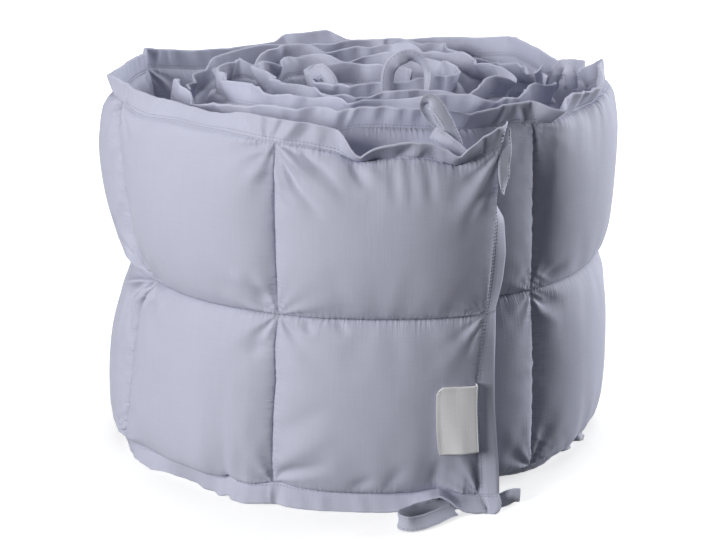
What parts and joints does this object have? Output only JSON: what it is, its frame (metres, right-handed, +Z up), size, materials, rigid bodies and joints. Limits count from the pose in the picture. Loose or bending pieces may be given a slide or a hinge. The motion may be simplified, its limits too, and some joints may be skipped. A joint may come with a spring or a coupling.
{
  "type": "crib bumper, rolled up",
  "caption": "Long quilted padded strip with a stitched flange and tie tapes, rolled up loosely and standing on its long edge.",
  "frame": {"origin": "on the surface it stands on, under the middle of the roll's box", "axes": "+Z up along the roll's axis; the strip's open outer end is at the front (-Y), a little towards +X"},
  "size_m": [0.4135, 0.439, 0.3246],
  "materials": {
    "sateen": "smooth cotton sateen, soft low sheen",
    "tape": "folded cotton tape, matt",
    "woven_label": "fine white woven ribbon, matt"
  },
  "bodies": {
    "root": {"quilted_strip": "sateen", "label": "woven_label", "tie_end_loop": "tape", "tie_end_flap": "tape", "tie_end_corner": "tape", "tie_foot_front": "tape", "tie_foot_back": "tape", "tie_core_arch": "tape", "tie_core_loop": "tape", "tie_side_loop": "tape", "tie_side_tail": "tape"}
  },
  "joints": []
}
